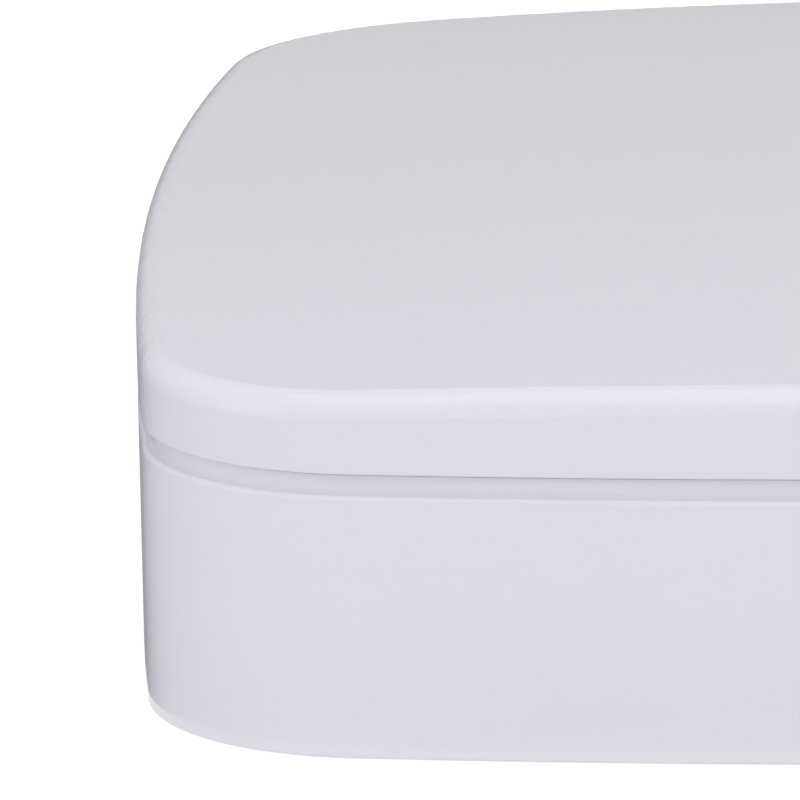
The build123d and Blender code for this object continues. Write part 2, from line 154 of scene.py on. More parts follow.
# %% [markdown]
# ## Sprayed lacquer
# The box is fibreboard, sanded, primed and sprayed white. Sprayed lacquer is never quite flat: it
# dries with a fine orange peel, a few nibs of dust and a very slight cloudiness. A flat white
# would look like plastic, and a painted texture would need an image, so the surface comes from
# noise in object space, small enough that it only shows in the highlight along the lid's edge.

# %% Group: orange peel and dust nibs
PEEL_SIZE = 900.0
NIB_DENSITY = 260.0
CLOUDINESS_SIZE = 22.0
NIB_PATCH_SIZE = 60.0
NIB_RADIUS = 0.07
NIB_STEEPNESS = 14.0
NIB_PATCHES_ABOVE = 0.66
NIB_HEIGHT = 1.2


def make_spray_group():
    """The height of orange peel with nibs in a few patches, and a slow cloudiness."""
    inputs = [("Peel Size", PEEL_SIZE), ("Nib Density", NIB_DENSITY)]
    tree, given, result = new_group("spray coat", inputs, ["Height", "Cloud"])
    place = add(tree, "ShaderNodeTexCoord").outputs["Object"]
    peel = clouds(tree, place, given["Peel Size"], 2.0)
    spots = add(tree, "ShaderNodeTexVoronoi", {"Vector": place, "Scale": given["Nib Density"]})
    near = calc(tree, "SUBTRACT", NIB_RADIUS, spots.outputs["Distance"], clamp=True)
    patches = calc(tree, "GREATER_THAN", clouds(tree, place, NIB_PATCH_SIZE, 0.0), NIB_PATCHES_ABOVE)
    nibs = calc(tree, "MULTIPLY", calc(tree, "MULTIPLY", near, NIB_STEEPNESS), patches, clamp=True)
    height = calc(tree, "ADD", peel, calc(tree, "MULTIPLY", nibs, NIB_HEIGHT))
    tree.links.new(height, result["Height"])
    tree.links.new(clouds(tree, place, CLOUDINESS_SIZE, 3.0), result["Cloud"])
    return tree


SPRAY = make_spray_group()
print("group:", SPRAY.name)

# %% Material: white satin lacquer
LACQUER_WHITE = (0.775, 0.782, 0.845, 1.0)
LACQUER_SHADE = (0.755, 0.762, 0.828, 1.0)
LACQUER_SMOOTHEST, LACQUER_ROUGHEST = 0.14, 0.2
LACQUER_RELIEF, LACQUER_RELIEF_DEPTH = 0.06, 0.2 * MM
LACQUER_IOR = 1.5


def make_lacquer():
    """White with a hint of blue, smooth enough to give the lid's edge its highlight."""
    material, tree, shader = new_material("white satin lacquer")
    coat = use_group(tree, SPRAY, Peel_Size=PEEL_SIZE, Nib_Density=NIB_DENSITY)
    changing = {
        "Base Color": blend(tree, coat["Cloud"], LACQUER_WHITE, LACQUER_SHADE),
        "Roughness": between(tree, coat["Cloud"], LACQUER_SMOOTHEST, LACQUER_ROUGHEST),
        "Normal": relief(tree, coat["Height"], LACQUER_RELIEF, LACQUER_RELIEF_DEPTH),
    }
    dress(tree, shader, changing, {"IOR": LACQUER_IOR})
    return material


LACQUER = make_lacquer()
print("material:", LACQUER.name)

# %% [markdown]
# ## Brass and nickel
# The hinges, pins and screws are polished brass that has been handled a little, so its roughness
# wanders and it has fine scratches. The catch is four bright nickel discs. One plain gold colour
# would look like paint, so a node group gives scratches and smudges, and each metal uses it with
# its own values.

# %% Group: fine scratches and smudges on metal
SCRATCH_SIZE = 700.0
SMUDGE_SIZE = 120.0
SCRATCH_STRETCH = (0.06, 1.0, 1.0)


def make_handled_group():
    """Scratches drawn out along X, and soft smudges from fingers."""
    inputs = [("Scratch Size", SCRATCH_SIZE), ("Smudge Size", SMUDGE_SIZE)]
    tree, given, result = new_group("handled metal", inputs, ["Scratches", "Smudge"])
    place = add(tree, "ShaderNodeTexCoord").outputs["Object"]
    drawn = add(tree, "ShaderNodeMapping", {"Vector": place, "Scale": SCRATCH_STRETCH}).outputs[0]
    tree.links.new(clouds(tree, drawn, given["Scratch Size"], 4.0), result["Scratches"])
    tree.links.new(clouds(tree, place, given["Smudge Size"], 2.0), result["Smudge"])
    return tree


HANDLED = make_handled_group()
print("group:", HANDLED.name)

# %% Materials: polished brass, drawn brass, nickel plate
METAL_SMUDGE_SIZE = 150.0
METAL_RELIEF, METAL_RELIEF_DEPTH = 0.12, 0.05 * MM
BRASS_BRIGHT, BRASS_WORN = (0.86, 0.66, 0.34, 1.0), (0.74, 0.53, 0.26, 1.0)
PIN_BRIGHT, PIN_WORN = (0.82, 0.62, 0.32, 1.0), (0.70, 0.50, 0.25, 1.0)
NICKEL_BRIGHT, NICKEL_WORN = (0.78, 0.77, 0.75, 1.0), (0.66, 0.65, 0.63, 1.0)


def make_metal(name, bright, worn, smoothest, roughest, scratch_size):
    """Bare metal whose colour and roughness wander a little, with fine scratches."""
    material, tree, shader = new_material(name)
    wear = use_group(tree, HANDLED, Scratch_Size=scratch_size, Smudge_Size=METAL_SMUDGE_SIZE)
    changing = {
        "Base Color": blend(tree, wear["Smudge"], bright, worn),
        "Roughness": between(tree, wear["Smudge"], smoothest, roughest),
        "Normal": relief(tree, wear["Scratches"], METAL_RELIEF, METAL_RELIEF_DEPTH),
    }
    dress(tree, shader, changing, {"Metallic": 1.0})
    return material


BRASS = make_metal("polished brass", BRASS_BRIGHT, BRASS_WORN, 0.16, 0.30, 700.0)
PIN_BRASS = make_metal("drawn brass", PIN_BRIGHT, PIN_WORN, 0.20, 0.36, 1400.0)
NICKEL = make_metal("nickel plate", NICKEL_BRIGHT, NICKEL_WORN, 0.14, 0.26, 900.0)
print("metals:", BRASS.name, PIN_BRASS.name, NICKEL.name)

# %% [markdown]
# ## Mirror
# The mirror is silvered glass. Clear glass over a silver sheet would be truer, but it takes many
# more rays, and a metal shader with no roughness at all shows the same thing. The bevel is real
# geometry, so it catches the light by itself.

# %% Material: silvered glass
MIRROR_SCRATCH_SIZE, MIRROR_MARK_SIZE = 300.0, 60.0
MIRROR_CLEAN, MIRROR_MARKED = (0.93, 0.95, 0.945, 1.0), (0.90, 0.92, 0.915, 1.0)


def make_silvering():
    """Mirror glass: perfectly sharp, with a hint of green and the faintest finger marks."""
    material, tree, shader = new_material("silvered glass")
    wear = use_group(tree, HANDLED, Scratch_Size=MIRROR_SCRATCH_SIZE, Smudge_Size=MIRROR_MARK_SIZE)
    changing = {"Base Color": blend(tree, wear["Smudge"], MIRROR_CLEAN, MIRROR_MARKED)}
    dress(tree, shader, changing, {"Roughness": 0.0, "Metallic": 1.0})
    return material


SILVERING = make_silvering()
print("material:", SILVERING.name)

# %% [markdown]
# ## Board, tape and bumpers
# Under the box is a plain painted board, the mirror is held by a sheet of dark foam tape, and four
# clear dots keep the closed lid off the ledge. These are cheap, matt things that show only when
# the box is open or turned over, so each gets a short recipe of its own, with one noise that has
# the grain of the stuff.

# %% Material: painted fibreboard
BOARD_PALE, BOARD_DARK = (0.74, 0.74, 0.77, 1.0), (0.66, 0.66, 0.69, 1.0)
FIBRE_SIZE, BOARD_PATCH_SIZE = 420.0, 30.0
BOARD_SMOOTHEST, BOARD_ROUGHEST = 0.6, 0.8
BOARD_RELIEF, BOARD_RELIEF_DEPTH = 0.25, 0.1 * MM


def make_board():
    """Painted fibreboard: matt, with the faint fibres of the sheet showing through."""
    material, tree, shader = new_material("painted fibreboard")
    place = add(tree, "ShaderNodeTexCoord").outputs["Object"]
    fibres = clouds(tree, place, FIBRE_SIZE, 5.0)
    patches = clouds(tree, place, BOARD_PATCH_SIZE, 2.0)
    changing = {
        "Base Color": blend(tree, patches, BOARD_PALE, BOARD_DARK),
        "Roughness": between(tree, fibres, BOARD_SMOOTHEST, BOARD_ROUGHEST),
        "Normal": relief(tree, fibres, BOARD_RELIEF, BOARD_RELIEF_DEPTH),
    }
    dress(tree, shader, changing)
    return material


BOARD = make_board()
print("material:", BOARD.name)

# %% Materials: foam tape and clear bumpers
FOAM_DARK, FOAM_PALE = (0.03, 0.03, 0.032, 1.0), (0.075, 0.075, 0.08, 1.0)
FOAM_CELL_SIZE = 1400.0
FOAM_RELIEF, FOAM_RELIEF_DEPTH = 0.5, 0.1 * MM
BUMPER_CLEAR, BUMPER_HAZY = (0.98, 0.985, 0.99, 1.0), (0.94, 0.95, 0.96, 1.0)
BUMPER_HAZE_SIZE = 500.0
BUMPER_SMOOTHEST, BUMPER_ROUGHEST = 0.08, 0.2


def make_foam_tape():
    """Dark closed-cell foam."""
    material, tree, shader = new_material("foam tape")
    place = add(tree, "ShaderNodeTexCoord").outputs["Object"]
    cells = add(tree, "ShaderNodeTexVoronoi", {"Vector": place, "Scale": FOAM_CELL_SIZE}).outputs["Distance"]
    changing = {
        "Base Color": blend(tree, cells, FOAM_DARK, FOAM_PALE),
        "Normal": relief(tree, cells, FOAM_RELIEF, FOAM_RELIEF_DEPTH),
    }
    dress(tree, shader, changing, {"Roughness": 0.85})
    return material


def make_clear_bumper():
    """Clear soft plastic, a little cloudy."""
    material, tree, shader = new_material("clear bumper")
    place = add(tree, "ShaderNodeTexCoord").outputs["Object"]
    haze = clouds(tree, place, BUMPER_HAZE_SIZE, 2.0)
    changing = {
        "Base Color": blend(tree, haze, BUMPER_CLEAR, BUMPER_HAZY),
        "Roughness": between(tree, haze, BUMPER_SMOOTHEST, BUMPER_ROUGHEST),
    }
    dress(tree, shader, changing, {"Transmission Weight": 0.35, "IOR": 1.45})
    return material


FOAM_TAPE = make_foam_tape()
CLEAR_BUMPER = make_clear_bumper()
print("materials:", FOAM_TAPE.name, CLEAR_BUMPER.name)

# %% [markdown]
# ## Each CAD node gets its finish
# The nodes have the names that a person would give the pieces, so the finish follows from the
# name: whatever ends in leaf or screws is brass. The nodes that get none are the ones that the
# velvet and felt pieces below replace.

# %% Give the CAD nodes their finishes
def finish_for(name):
    """The finish of a CAD node that shows as it is, or None for one that a soft piece replaces."""
    if name in ("base_shell", "lid_panel"):
        return LACQUER
    if name.endswith("_leaf") or name.endswith("_screws"):
        return BRASS
    if name.endswith("_pin"):
        return PIN_BRASS
    if "magnet" in name:
        return NICKEL
    return {
        "bottom_panel": BOARD,
        "closing_bumpers": CLEAR_BUMPER,
        "mirror": SILVERING,
        "mirror_backing": FOAM_TAPE,
    }.get(name)


for name, node in nodes.items():
    if finish_for(name):
        node.data.materials.clear()
        node.data.materials.append(finish_for(name))
print("finished CAD nodes:", sum(finish_for(name) is not None for name in nodes), "of", len(nodes))

# %% [markdown]
# ## The plan of the box, as points
# Every lining piece follows the bowed wall, so they all need the same outline, only set in by
# different amounts. Each side is a shallow arc and each corner a tighter one that runs smoothly
# into both sides. Setting the outline in only makes each arc's radius smaller, so the points of
# two outlines pair up one to one, and a ring of faces can be laid between them.

# %% Outline
SIDE_BOW = 7.5 * MM
CORNER_RADIUS = 26.5 * MM
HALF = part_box("base_shell")[1].x
SIDE_ARC = (HALF**2 + SIDE_BOW**2) / (2 * SIDE_BOW)


def corner_middle():
    """Distance of each corner arc's centre from the box's middle, along X and along Y."""
    reach = SIDE_ARC - CORNER_RADIUS
    shift = SIDE_ARC - HALF
    return (sqrt(2 * reach**2 - shift**2) - shift) / 2


CORNER_MIDDLE = corner_middle()


def quarter(inset, side_steps, corner_steps):
    """The outline's points from the back's middle round the right corner to the right side's middle."""
    side_centre = HALF - SIDE_ARC
    turn = atan2(CORNER_MIDDLE, CORNER_MIDDLE - side_centre)
    points = []
    for step in range(side_steps):
        angle = turn * step / side_steps
        points.append((sin(angle) * (SIDE_ARC - inset), side_centre + cos(angle) * (SIDE_ARC - inset)))
    for step in range(corner_steps):
        angle = turn + (pi / 2 - 2 * turn) * step / corner_steps
        radius = CORNER_RADIUS - inset
        points.append((CORNER_MIDDLE + sin(angle) * radius, CORNER_MIDDLE + cos(angle) * radius))
    for step in range(side_steps):
        angle = pi / 2 - turn + turn * step / side_steps
        points.append((side_centre + sin(angle) * (SIDE_ARC - inset), cos(angle) * (SIDE_ARC - inset)))
    return np.array(points)


def outline(inset, side_steps=60, corner_steps=28):
    """Points right round the box, set in from the outside, clockwise from the back's middle."""
    part = quarter(inset, side_steps, corner_steps)
    turned = [part]
    for _ in range(3):
        x, y = turned[-1].T
        turned.append(np.stack([y, -x], axis=1))
    return np.concatenate(turned)


print("outline points:", len(outline(0.0)), "side arc, mm:", round(SIDE_ARC / MM, 1))

# %% [markdown]
# ## Velvet and felt
# Velvet is a short upright pile. In light its tips look pale and the gaps between them lie in shade,
# and a patch that a hand has stroked flat shows a lighter sheen. Hairs would be far too many, so the
# pile is a very fine noise that tilts the surface and paints light on the tips and shade between them
# into the colour; a slower noise drawn out along Y paints the lighter sheen of the strokes, and the
# sheen of the Principled shader gives the pale rim. Felt is the same cloth with coarser fibres.

# %% Group: pile
PILE_SIZE, STROKE_SIZE = 2600.0, 45.0
STROKE_STRETCH = (1.0, 0.35, 1.0)
STROKE_LOW, STROKE_HIGH = 0.3, 0.7
TIP_LOW, TIP_HIGH = 0.35, 0.7


def make_pile_group():
    """The height of the pile, a mask for painted light on its tips and shade between them, and a mask for
    the painted sheen of stroked patches.
    """
    inputs = [("Pile Size", PILE_SIZE), ("Brushing Size", STROKE_SIZE)]
    tree, given, result = new_group("pile", inputs, ["Height", "Painted Sheen", "Painted Pile Light"])
    place = add(tree, "ShaderNodeTexCoord").outputs["Object"]
    tips = clouds(tree, place, given["Pile Size"], 3.0)
    drawn = add(tree, "ShaderNodeMapping", {"Vector": place, "Scale": STROKE_STRETCH}).outputs[0]
    sheen_patches = clouds(tree, drawn, given["Brushing Size"], 2.0, Distortion=0.3)
    tree.links.new(tips, result["Height"])
    # These two masks paint light and shade into the cloth's colour: a lighter sheen on stroked patches,
    # light on the pile tips and shade between them.
    tree.links.new(stretched(tree, sheen_patches, STROKE_LOW, STROKE_HIGH), result["Painted Sheen"])
    tree.links.new(stretched(tree, tips, TIP_LOW, TIP_HIGH), result["Painted Pile Light"])
    return tree


PILE = make_pile_group()
print("group:", PILE.name)

# %% Materials: velvet and felt
# Each cloth has a shaded and a lit copy of its colour, and the pile masks blend them: painted light on the
# tips, painted shade between them and a painted sheen where stroked.
SHEEN_SHARE, TIP_LIGHT_SHARE = 0.3, 0.7
PILE_RELIEF = 0.7
VELVET_SHADED, VELVET_LIT = (0.33, 0.31, 0.31, 1.0), (0.52, 0.49, 0.48, 1.0)
ROLL_SHADED, ROLL_LIT = (0.35, 0.33, 0.33, 1.0), (0.55, 0.52, 0.51, 1.0)
FELT_SHADED, FELT_LIT = (0.22, 0.22, 0.24, 1.0), (0.36, 0.36, 0.38, 1.0)
CLOTH_PLAIN = {
    "Roughness": 0.95,
    "Specular IOR Level": 0.15,
    "Sheen Roughness": 0.35,
    "Sheen Tint": (1.0, 0.96, 0.94, 1.0),
}


def make_cloth(name, shaded_colour, lit_colour, pile_size, stroke_size, sheen, pile_depth):
    """Cloth with a pile: painted shade between its tips, painted light on them and a painted sheen where it
    was stroked.
    """
    material, tree, shader = new_material(name)
    pile = use_group(tree, PILE, Pile_Size=pile_size, Brushing_Size=stroke_size)
    # Painted light and shade: the stroked sheen and the lit pile tips move the colour from its shaded copy
    # to its lit copy.
    painted_sheen = calc(tree, "MULTIPLY", pile["Painted Sheen"], SHEEN_SHARE)
    painted_light = calc(tree, "ADD", painted_sheen, calc(tree, "MULTIPLY", pile["Painted Pile Light"], TIP_LIGHT_SHARE), clamp=True)
    changing = {
        "Base Color": blend(tree, painted_light, shaded_colour, lit_colour),
        "Normal": relief(tree, pile["Height"], PILE_RELIEF, pile_depth),
    }
    dress(tree, shader, changing, {**CLOTH_PLAIN, "Sheen Weight": sheen})
    return material


VELVET = make_cloth("grey velvet", VELVET_SHADED, VELVET_LIT, 2600.0, 45.0, 0.6, 0.15 * MM)
ROLL_VELVET = make_cloth("grey roll velvet", ROLL_SHADED, ROLL_LIT, 2600.0, 70.0, 0.65, 0.15 * MM)
FELT = make_cloth("grey felt", FELT_SHADED, FELT_LIT, 1500.0, 160.0, 0.2, 0.2 * MM)
print("cloths:", VELVET.name, ROLL_VELVET.name, FELT.name)

# %% [markdown]
# ## Cloth pieces from rings
# The strip on the wall, the floor board and the felt are all flat stock cut to the outline and
# wrapped, so they can be built ring by ring: a short profile of (inset, height) pairs gives one
# ring of points each. A slow noise then pushes the cloth in and out by a tenth of a millimetre or
# two, which is what glued velvet does over board.

# %% Helpers for cloth pieces
def new_piece(name, points, faces, material):
    """A smooth-shaded mesh object from points and faces."""
    mesh = bpy.data.meshes.new(name)
    mesh.from_pydata([tuple(p) for p in points], [], faces)
    mesh.validate()
    mesh.update()
    mesh.polygons.foreach_set("use_smooth", [True] * len(mesh.polygons))
    mesh.materials.append(material)
    piece = bpy.data.objects.new(name, mesh)
    bpy.context.scene.collection.objects.link(piece)
    return piece


def ring_stack(profile, side_steps=60, corner_steps=28):
    """Points of one outline per (inset, height) pair, as an array of rings."""
    rings = []
    for inset, height in profile:
        flat = outline(inset, side_steps, corner_steps)
        rings.append(np.column_stack([flat, np.full(len(flat), height)]))
    return np.array(rings)


def ring_faces(ring_count, ring_size, joined=True, closed=True):
    """Quads between following rings; joined also ties the last ring to the first."""
    faces = []
    for ring in range(ring_count if joined else ring_count - 1):
        here, there = ring * ring_size, (ring + 1) % ring_count * ring_size
        for step in range(ring_size if closed else ring_size - 1):
            after = (step + 1) % ring_size
            faces.append((here + step, here + after, there + after, there + step))
    return faces


print("faces between two rings of the outline:", len(ring_faces(2, len(outline(0.0)), joined=False)))


# %% Helpers for the cloth's ripples and for its body
NOISE_STEP = (7.3, 3.1, 5.7)


def ripple(points, size, depth, seed):
    """Moves points by slow noise, the same each run."""
    moved = points.copy()
    shift = Vector([seed * part for part in NOISE_STEP])
    for index, point in enumerate(points):
        moved[index] += np.array(noise.noise_vector(Vector(point) / size + shift)) * depth
    return moved


def cloth_on(piece, body, replaced):
    """Hangs a padded cloth piece on its body and hides the CAD node that it replaces."""
    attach(piece, body)
    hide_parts(replaced)
    return piece


print("cloth helpers ready")

# %% [markdown]
# ## Velvet on the wall
# A strip of card covered in velvet is bent round inside the wall, and its two ends meet at the
# middle of the back. Its top edge is rolled over, and beside the joint the cloth is tucked in, so
# the profile is swept almost all the way round and narrows over the last millimetre at each end.

# %% Wall liner
LINER_THICKNESS = 1.8 * MM
LINER_ROLL = 0.85 * MM
LINER_SWELL = 0.22 * MM
LINER_RIPPLE = (9 * MM, 0.16 * MM)
JOINT_PINCH = (0.45, 0.8, 0.95)
JOINT_GAP = 0.12 * MM


def liner_profile():
    """(inset, height) pairs: up the card's back, over its rolled top and down the velvet."""
    low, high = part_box("wall_liner")
    outer = HALF - high.x
    shoulder = high.z - LINER_ROLL
    profile = [(outer, low.z), (outer, (high.z + low.z) / 2), (outer, shoulder)]
    for step in range(1, 8):
        angle = pi * step / 8
        across = outer + LINER_THICKNESS / 2 - cos(angle) * LINER_THICKNESS / 2
        profile.append((across, shoulder + sin(angle) * LINER_ROLL))
    for share in np.linspace(0.0, 1.0, 24):
        inset = outer + LINER_THICKNESS + LINER_SWELL * sin(pi * share)
        profile.append((inset, shoulder * (1 - share) + low.z * share))
    return profile


def make_wall_liner():
    """The profile swept round the wall, pinched in and parted at the joint in the back."""
    profile = liner_profile()
    rings = ring_stack(profile, 70, 40)
    count = rings.shape[1]
    strip = np.concatenate([rings, rings[:, :1]], axis=1)
    middle = strip.mean(axis=0, keepdims=True)
    for step, pinch in enumerate(JOINT_PINCH):
        for index in (step, count - step):
            strip[:, index] = middle[:, index] + (strip[:, index] - middle[:, index]) * pinch
    strip[:, 0, 0] += JOINT_GAP
    strip[:, count, 0] -= JOINT_GAP
    size = count + 1
    points = ripple(strip.reshape(-1, 3), *LINER_RIPPLE, 1)
    faces = ring_faces(len(profile), size, closed=False)
    faces.append(tuple(ring * size for ring in range(len(profile))))
    faces.append(tuple(ring * size + count for ring in reversed(range(len(profile)))))
    piece = new_piece("velvet_wall_liner", points, faces, VELVET)
    return cloth_on(piece, "base", "wall_liner")


LINER = make_wall_liner()
print("wall liner points:", len(LINER.data.vertices))

# %% [markdown]
# ## Floor board
# The floor board is wrapped in the same velvet. Its edge is rounded where the cloth goes over,
# and its middle stands a little higher, because there is thin wadding under the cloth. A flat
# face would need few points, but then the ripple would have nothing to move, so rings shrink
# towards the middle and a fan closes the last one.

# %% Floor pad
FLOOR_PAD_WIDER = 0.15 * MM
FLOOR_PAD_EDGE = 0.9 * MM
FLOOR_PAD_CROWN = 0.05 * MM
FLOOR_PAD_RIPPLE = (14 * MM, 0.12 * MM)


def shrunk_rings(inset, shares, height_of, side_steps=60, corner_steps=28):
    """Rings that shrink towards the middle, each at the height that height_of gives its share."""
    rim = outline(inset, side_steps, corner_steps)
    return [np.column_stack([rim * share, np.full(len(rim), height_of(share))]) for share in shares]


def capped(points, faces, ring_start, ring_size, height):
    """Closes the innermost ring with a fan to one middle point."""
    middle = len(points)
    points = np.concatenate([points, [[0.0, 0.0, height]]])
    for step in range(ring_size):
        faces.append((ring_start + step, ring_start + (step + 1) % ring_size, middle))
    return points, faces


def make_floor_pad():
    """A covered board cut to the outline: rounded rim, nearly flat face, closed underneath."""
    low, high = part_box("floor_pad")
    inset = HALF - high.x - FLOOR_PAD_WIDER
    face, edge = high.z, FLOOR_PAD_EDGE
    rim = [(inset, low.z), (inset, face - edge)]
    for step in range(1, 6):
        angle = pi / 2 * step / 5
        rim.append((inset + edge * (1 - cos(angle)), face - edge * (1 - sin(angle))))
    rings = list(ring_stack(rim))
    size = len(rings[0])
    shares = [1 - s for s in (0.01, 0.025, 0.045, 0.07, 0.1, *np.linspace(0.14, 0.96, 22))]
    rings += shrunk_rings(inset + edge, shares, lambda share: face + FLOOR_PAD_CROWN * (1 - share**2))
    points = ripple(np.concatenate(rings), *FLOOR_PAD_RIPPLE, 2)
    faces = ring_faces(len(rings), size, joined=False)
    points, faces = capped(points, faces, (len(rings) - 1) * size, size, face + FLOOR_PAD_CROWN)
    faces.append(tuple(range(size)))
    piece = new_piece("velvet_floor", points, [tuple(reversed(f)) for f in faces], VELVET)
    return cloth_on(piece, "base", "floor_pad")


FLOOR_PAD = make_floor_pad()
print("floor pad points:", len(FLOOR_PAD.data.vertices))

# %% [markdown]
# ## Dividers
# A divider is a slip of board with velvet folded over its top edge. Its top is therefore a full
# round, its sides swell a little where the cloth isn't glued, and it pushes slightly into the
# cloth of whatever it meets. One cross-section drawn along the divider's length gives all four.
# An end that meets the long divider runs on under its round top, so that no gap shows there.

# %% Cross-section of a divider
DIVIDER_SLIM = 0.94
DIVIDER_BELLY = 0.1


def divider_section(thickness, low, high):
    """The outline of a cut through a divider: (across, height) points, up one side and down the other."""
    radius = thickness / 2
    shoulder = high - radius
    side = []
    for share in np.linspace(0, 1, 14):
        width = DIVIDER_SLIM + DIVIDER_BELLY * sin(pi * share)
        side.append((width * radius, low + (shoulder - low) * share))
    crown = []
    for step in range(1, 12):
        angle = pi * step / 12
        crown.append((-cos(angle) * radius * DIVIDER_SLIM, shoulder + sin(angle) * radius))
    return [(-across, height) for across, height in side] + crown + side[::-1]


print("points round a divider:", len(divider_section(3 * MM, 0.0, 20 * MM)))

# %% Dividers
DIVIDER_RING_STEP = 1.5 * MM
DIVIDER_RIPPLE = (11 * MM, 0.16 * MM)
DIVIDER_INTO_BOARD = 2.0 * MM
DIVIDER_INTO_WALL = 0.3 * MM


def tuck(place):
    """How far a divider's end runs into what it meets: the long divider, or the wall."""
    return DIVIDER_INTO_BOARD if abs(place) < HALF / 2 else DIVIDER_INTO_WALL


def make_divider(node, seed):
    """The cross-section drawn along the divider's longer way, with closed ends."""
    low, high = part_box(node)
    along_x = high.x - low.x > high.y - low.y
    start, end = (low.x, high.x) if along_x else (low.y, high.y)
    centre = (low.y + high.y) / 2 if along_x else (low.x + high.x) / 2
    thickness = min(high.x - low.x, high.y - low.y)
    section = divider_section(thickness, low.z, high.z)
    count = int((end - start) / DIVIDER_RING_STEP)
    rings = []
    for place in np.linspace(start - tuck(start), end + tuck(end), count):
        for across, height in section:
            spot = (place, centre + across) if along_x else (centre + across, place)
            rings.append((*spot, height))
    points = ripple(np.array(rings), *DIVIDER_RIPPLE, seed)
    size = len(section)
    faces = ring_faces(count, size, joined=False)
    if along_x:
        faces = [tuple(reversed(face)) for face in faces]
    faces.append(tuple(range(size)))
    faces.append(tuple(range((count - 1) * size, count * size)))
    piece = new_piece("velvet_" + node, points, faces, VELVET)
    return cloth_on(piece, "base", node)


for seed, node in enumerate(("divider_long", "divider_front", "divider_back_left", "divider_back_right")):
    made = make_divider(node, seed + 3)
    print(made.name, len(made.data.vertices), "points")

# %% [markdown]
# ## Ring rolls
# A ring roll is a stick of foam wrapped in velvet. The rolls lie side by side and grip a ring
# between them, so they have to look stuffed: fat in the middle, pressed flat where they touch.
# Modelling that by hand gives even sausages. Blowing each one up as cloth does it better: the
# pad's solid is remeshed to an even net, made a little thinner, and the cloth solver inflates it.
# Each point may move only a fraction of a millimetre and may not leave the roll's own slot, which
# is what presses the sides flat. The solver likes larger pieces, so it works at four times size.

# %% Helpers for meshes
def applied(piece):
    """Replaces a piece's mesh by the same mesh with its modifiers applied."""
    bpy.context.view_layer.update()
    graph = bpy.context.evaluated_depsgraph_get()
    mesh = bpy.data.meshes.new_from_object(piece.evaluated_get(graph))
    piece.modifiers.clear()
    old, piece.data = piece.data, mesh
    mesh.name = piece.name
    bpy.data.meshes.remove(old)


def mesh_points(mesh):
    """A mesh's points as an array."""
    flat = np.zeros(len(mesh.vertices) * 3)
    mesh.vertices.foreach_get("co", flat)
    return flat.reshape(-1, 3)


def set_mesh_points(mesh, points):
    """Puts an array of points back into a mesh."""
    mesh.vertices.foreach_set("co", points.astype(np.float32).ravel())
    mesh.update()


def subdivided(piece):
    """Rounds the net once and shades it smooth."""
    rounder = piece.modifiers.new("rounder", "SUBSURF")
    rounder.levels = 1
    rounder.render_levels = 1
    applied(piece)
    piece.data.polygons.foreach_set("use_smooth", [True] * len(piece.data.polygons))
    piece.data.update()


print("mesh helpers ready")


# %% Helpers for blown-up pads
SOLVER_SCALE = 4.0
SOLVER_FRAMES = 20
SOLVER_QUALITY = 4


def remeshed_copy(name, node, thinner, voxel, material):
    """An even net over a CAD pad, made thinner about its middle."""
    mesh = nodes[node].data.copy()
    piece = bpy.data.objects.new(name, mesh)
    bpy.context.scene.collection.objects.link(piece)
    low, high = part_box(node)
    middle = (low + high) / 2
    scale = Matrix.Diagonal((*[1 - 2 * cut / (b - a) for cut, a, b in zip(thinner, low, high)], 1.0))
    mesh.transform(Matrix.Translation(middle) @ scale @ Matrix.Translation(-middle))
    net = piece.modifiers.new("net", "REMESH")
    net.mode = "VOXEL"
    net.voxel_size = voxel
    applied(piece)
    piece.data.materials.clear()
    piece.data.materials.append(material)
    return piece


def blow_up(piece, pressure, most):
    """Inflates a closed cloth piece, and lets no point move further than most."""
    start = mesh_points(piece.data)
    piece.data.transform(Matrix.Scale(SOLVER_SCALE, 4))
    cloth = piece.modifiers.new("cloth", "CLOTH")
    cloth.settings.use_pressure = True
    cloth.settings.uniform_pressure_force = pressure
    cloth.settings.effector_weights.gravity = 0.0
    cloth.settings.quality = SOLVER_QUALITY
    cloth.point_cache.frame_start = 1
    cloth.point_cache.frame_end = SOLVER_FRAMES
    for frame_number in range(1, SOLVER_FRAMES + 1):
        bpy.context.scene.frame_set(frame_number)
    applied(piece)
    bpy.context.scene.frame_set(1)
    moved = mesh_points(piece.data) / SOLVER_SCALE - start
    far = np.linalg.norm(moved, axis=1, keepdims=True)
    moved *= np.minimum(1.0, most / np.maximum(far, 1e-9))
    set_mesh_points(piece.data, start + moved)


print("cloth is solved over", SOLVER_FRAMES, "frames at", SOLVER_SCALE, "times size")

# %% Ring rolls
ROLL_NODES = sorted(name for name in nodes if name.startswith("ring_roll_"))
ROLL_VOXEL = 1.2 * MM
ROLL_THINNER = (0.3 * MM, 0.45 * MM, 0.3 * MM)
ROLL_PRESSURE = 6.0
ROLL_MOST = 0.75 * MM
ROLL_RIPPLE = (7 * MM, 0.3 * MM)
ROLL_PRESS = 0.12 * MM
ROLL_CROWN = 0.4 * MM


def make_ring_roll(node, seed):
    """One stuffed roll, blown up and then held in its own slot."""
    low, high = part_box(node)
    piece = remeshed_copy("velvet_" + node, node, ROLL_THINNER, ROLL_VOXEL, ROLL_VELVET)
    blow_up(piece, ROLL_PRESSURE, ROLL_MOST)
    points = ripple(mesh_points(piece.data), *ROLL_RIPPLE, seed)
    points[:, 1] = np.clip(points[:, 1], low.y - ROLL_PRESS, high.y + ROLL_PRESS)
    points[:, 0] = np.clip(points[:, 0], low.x - ROLL_PRESS, high.x + ROLL_PRESS)
    points[:, 2] = np.clip(points[:, 2], low.z, high.z + ROLL_CROWN)
    set_mesh_points(piece.data, points)
    subdivided(piece)
    return cloth_on(piece, "base", node)


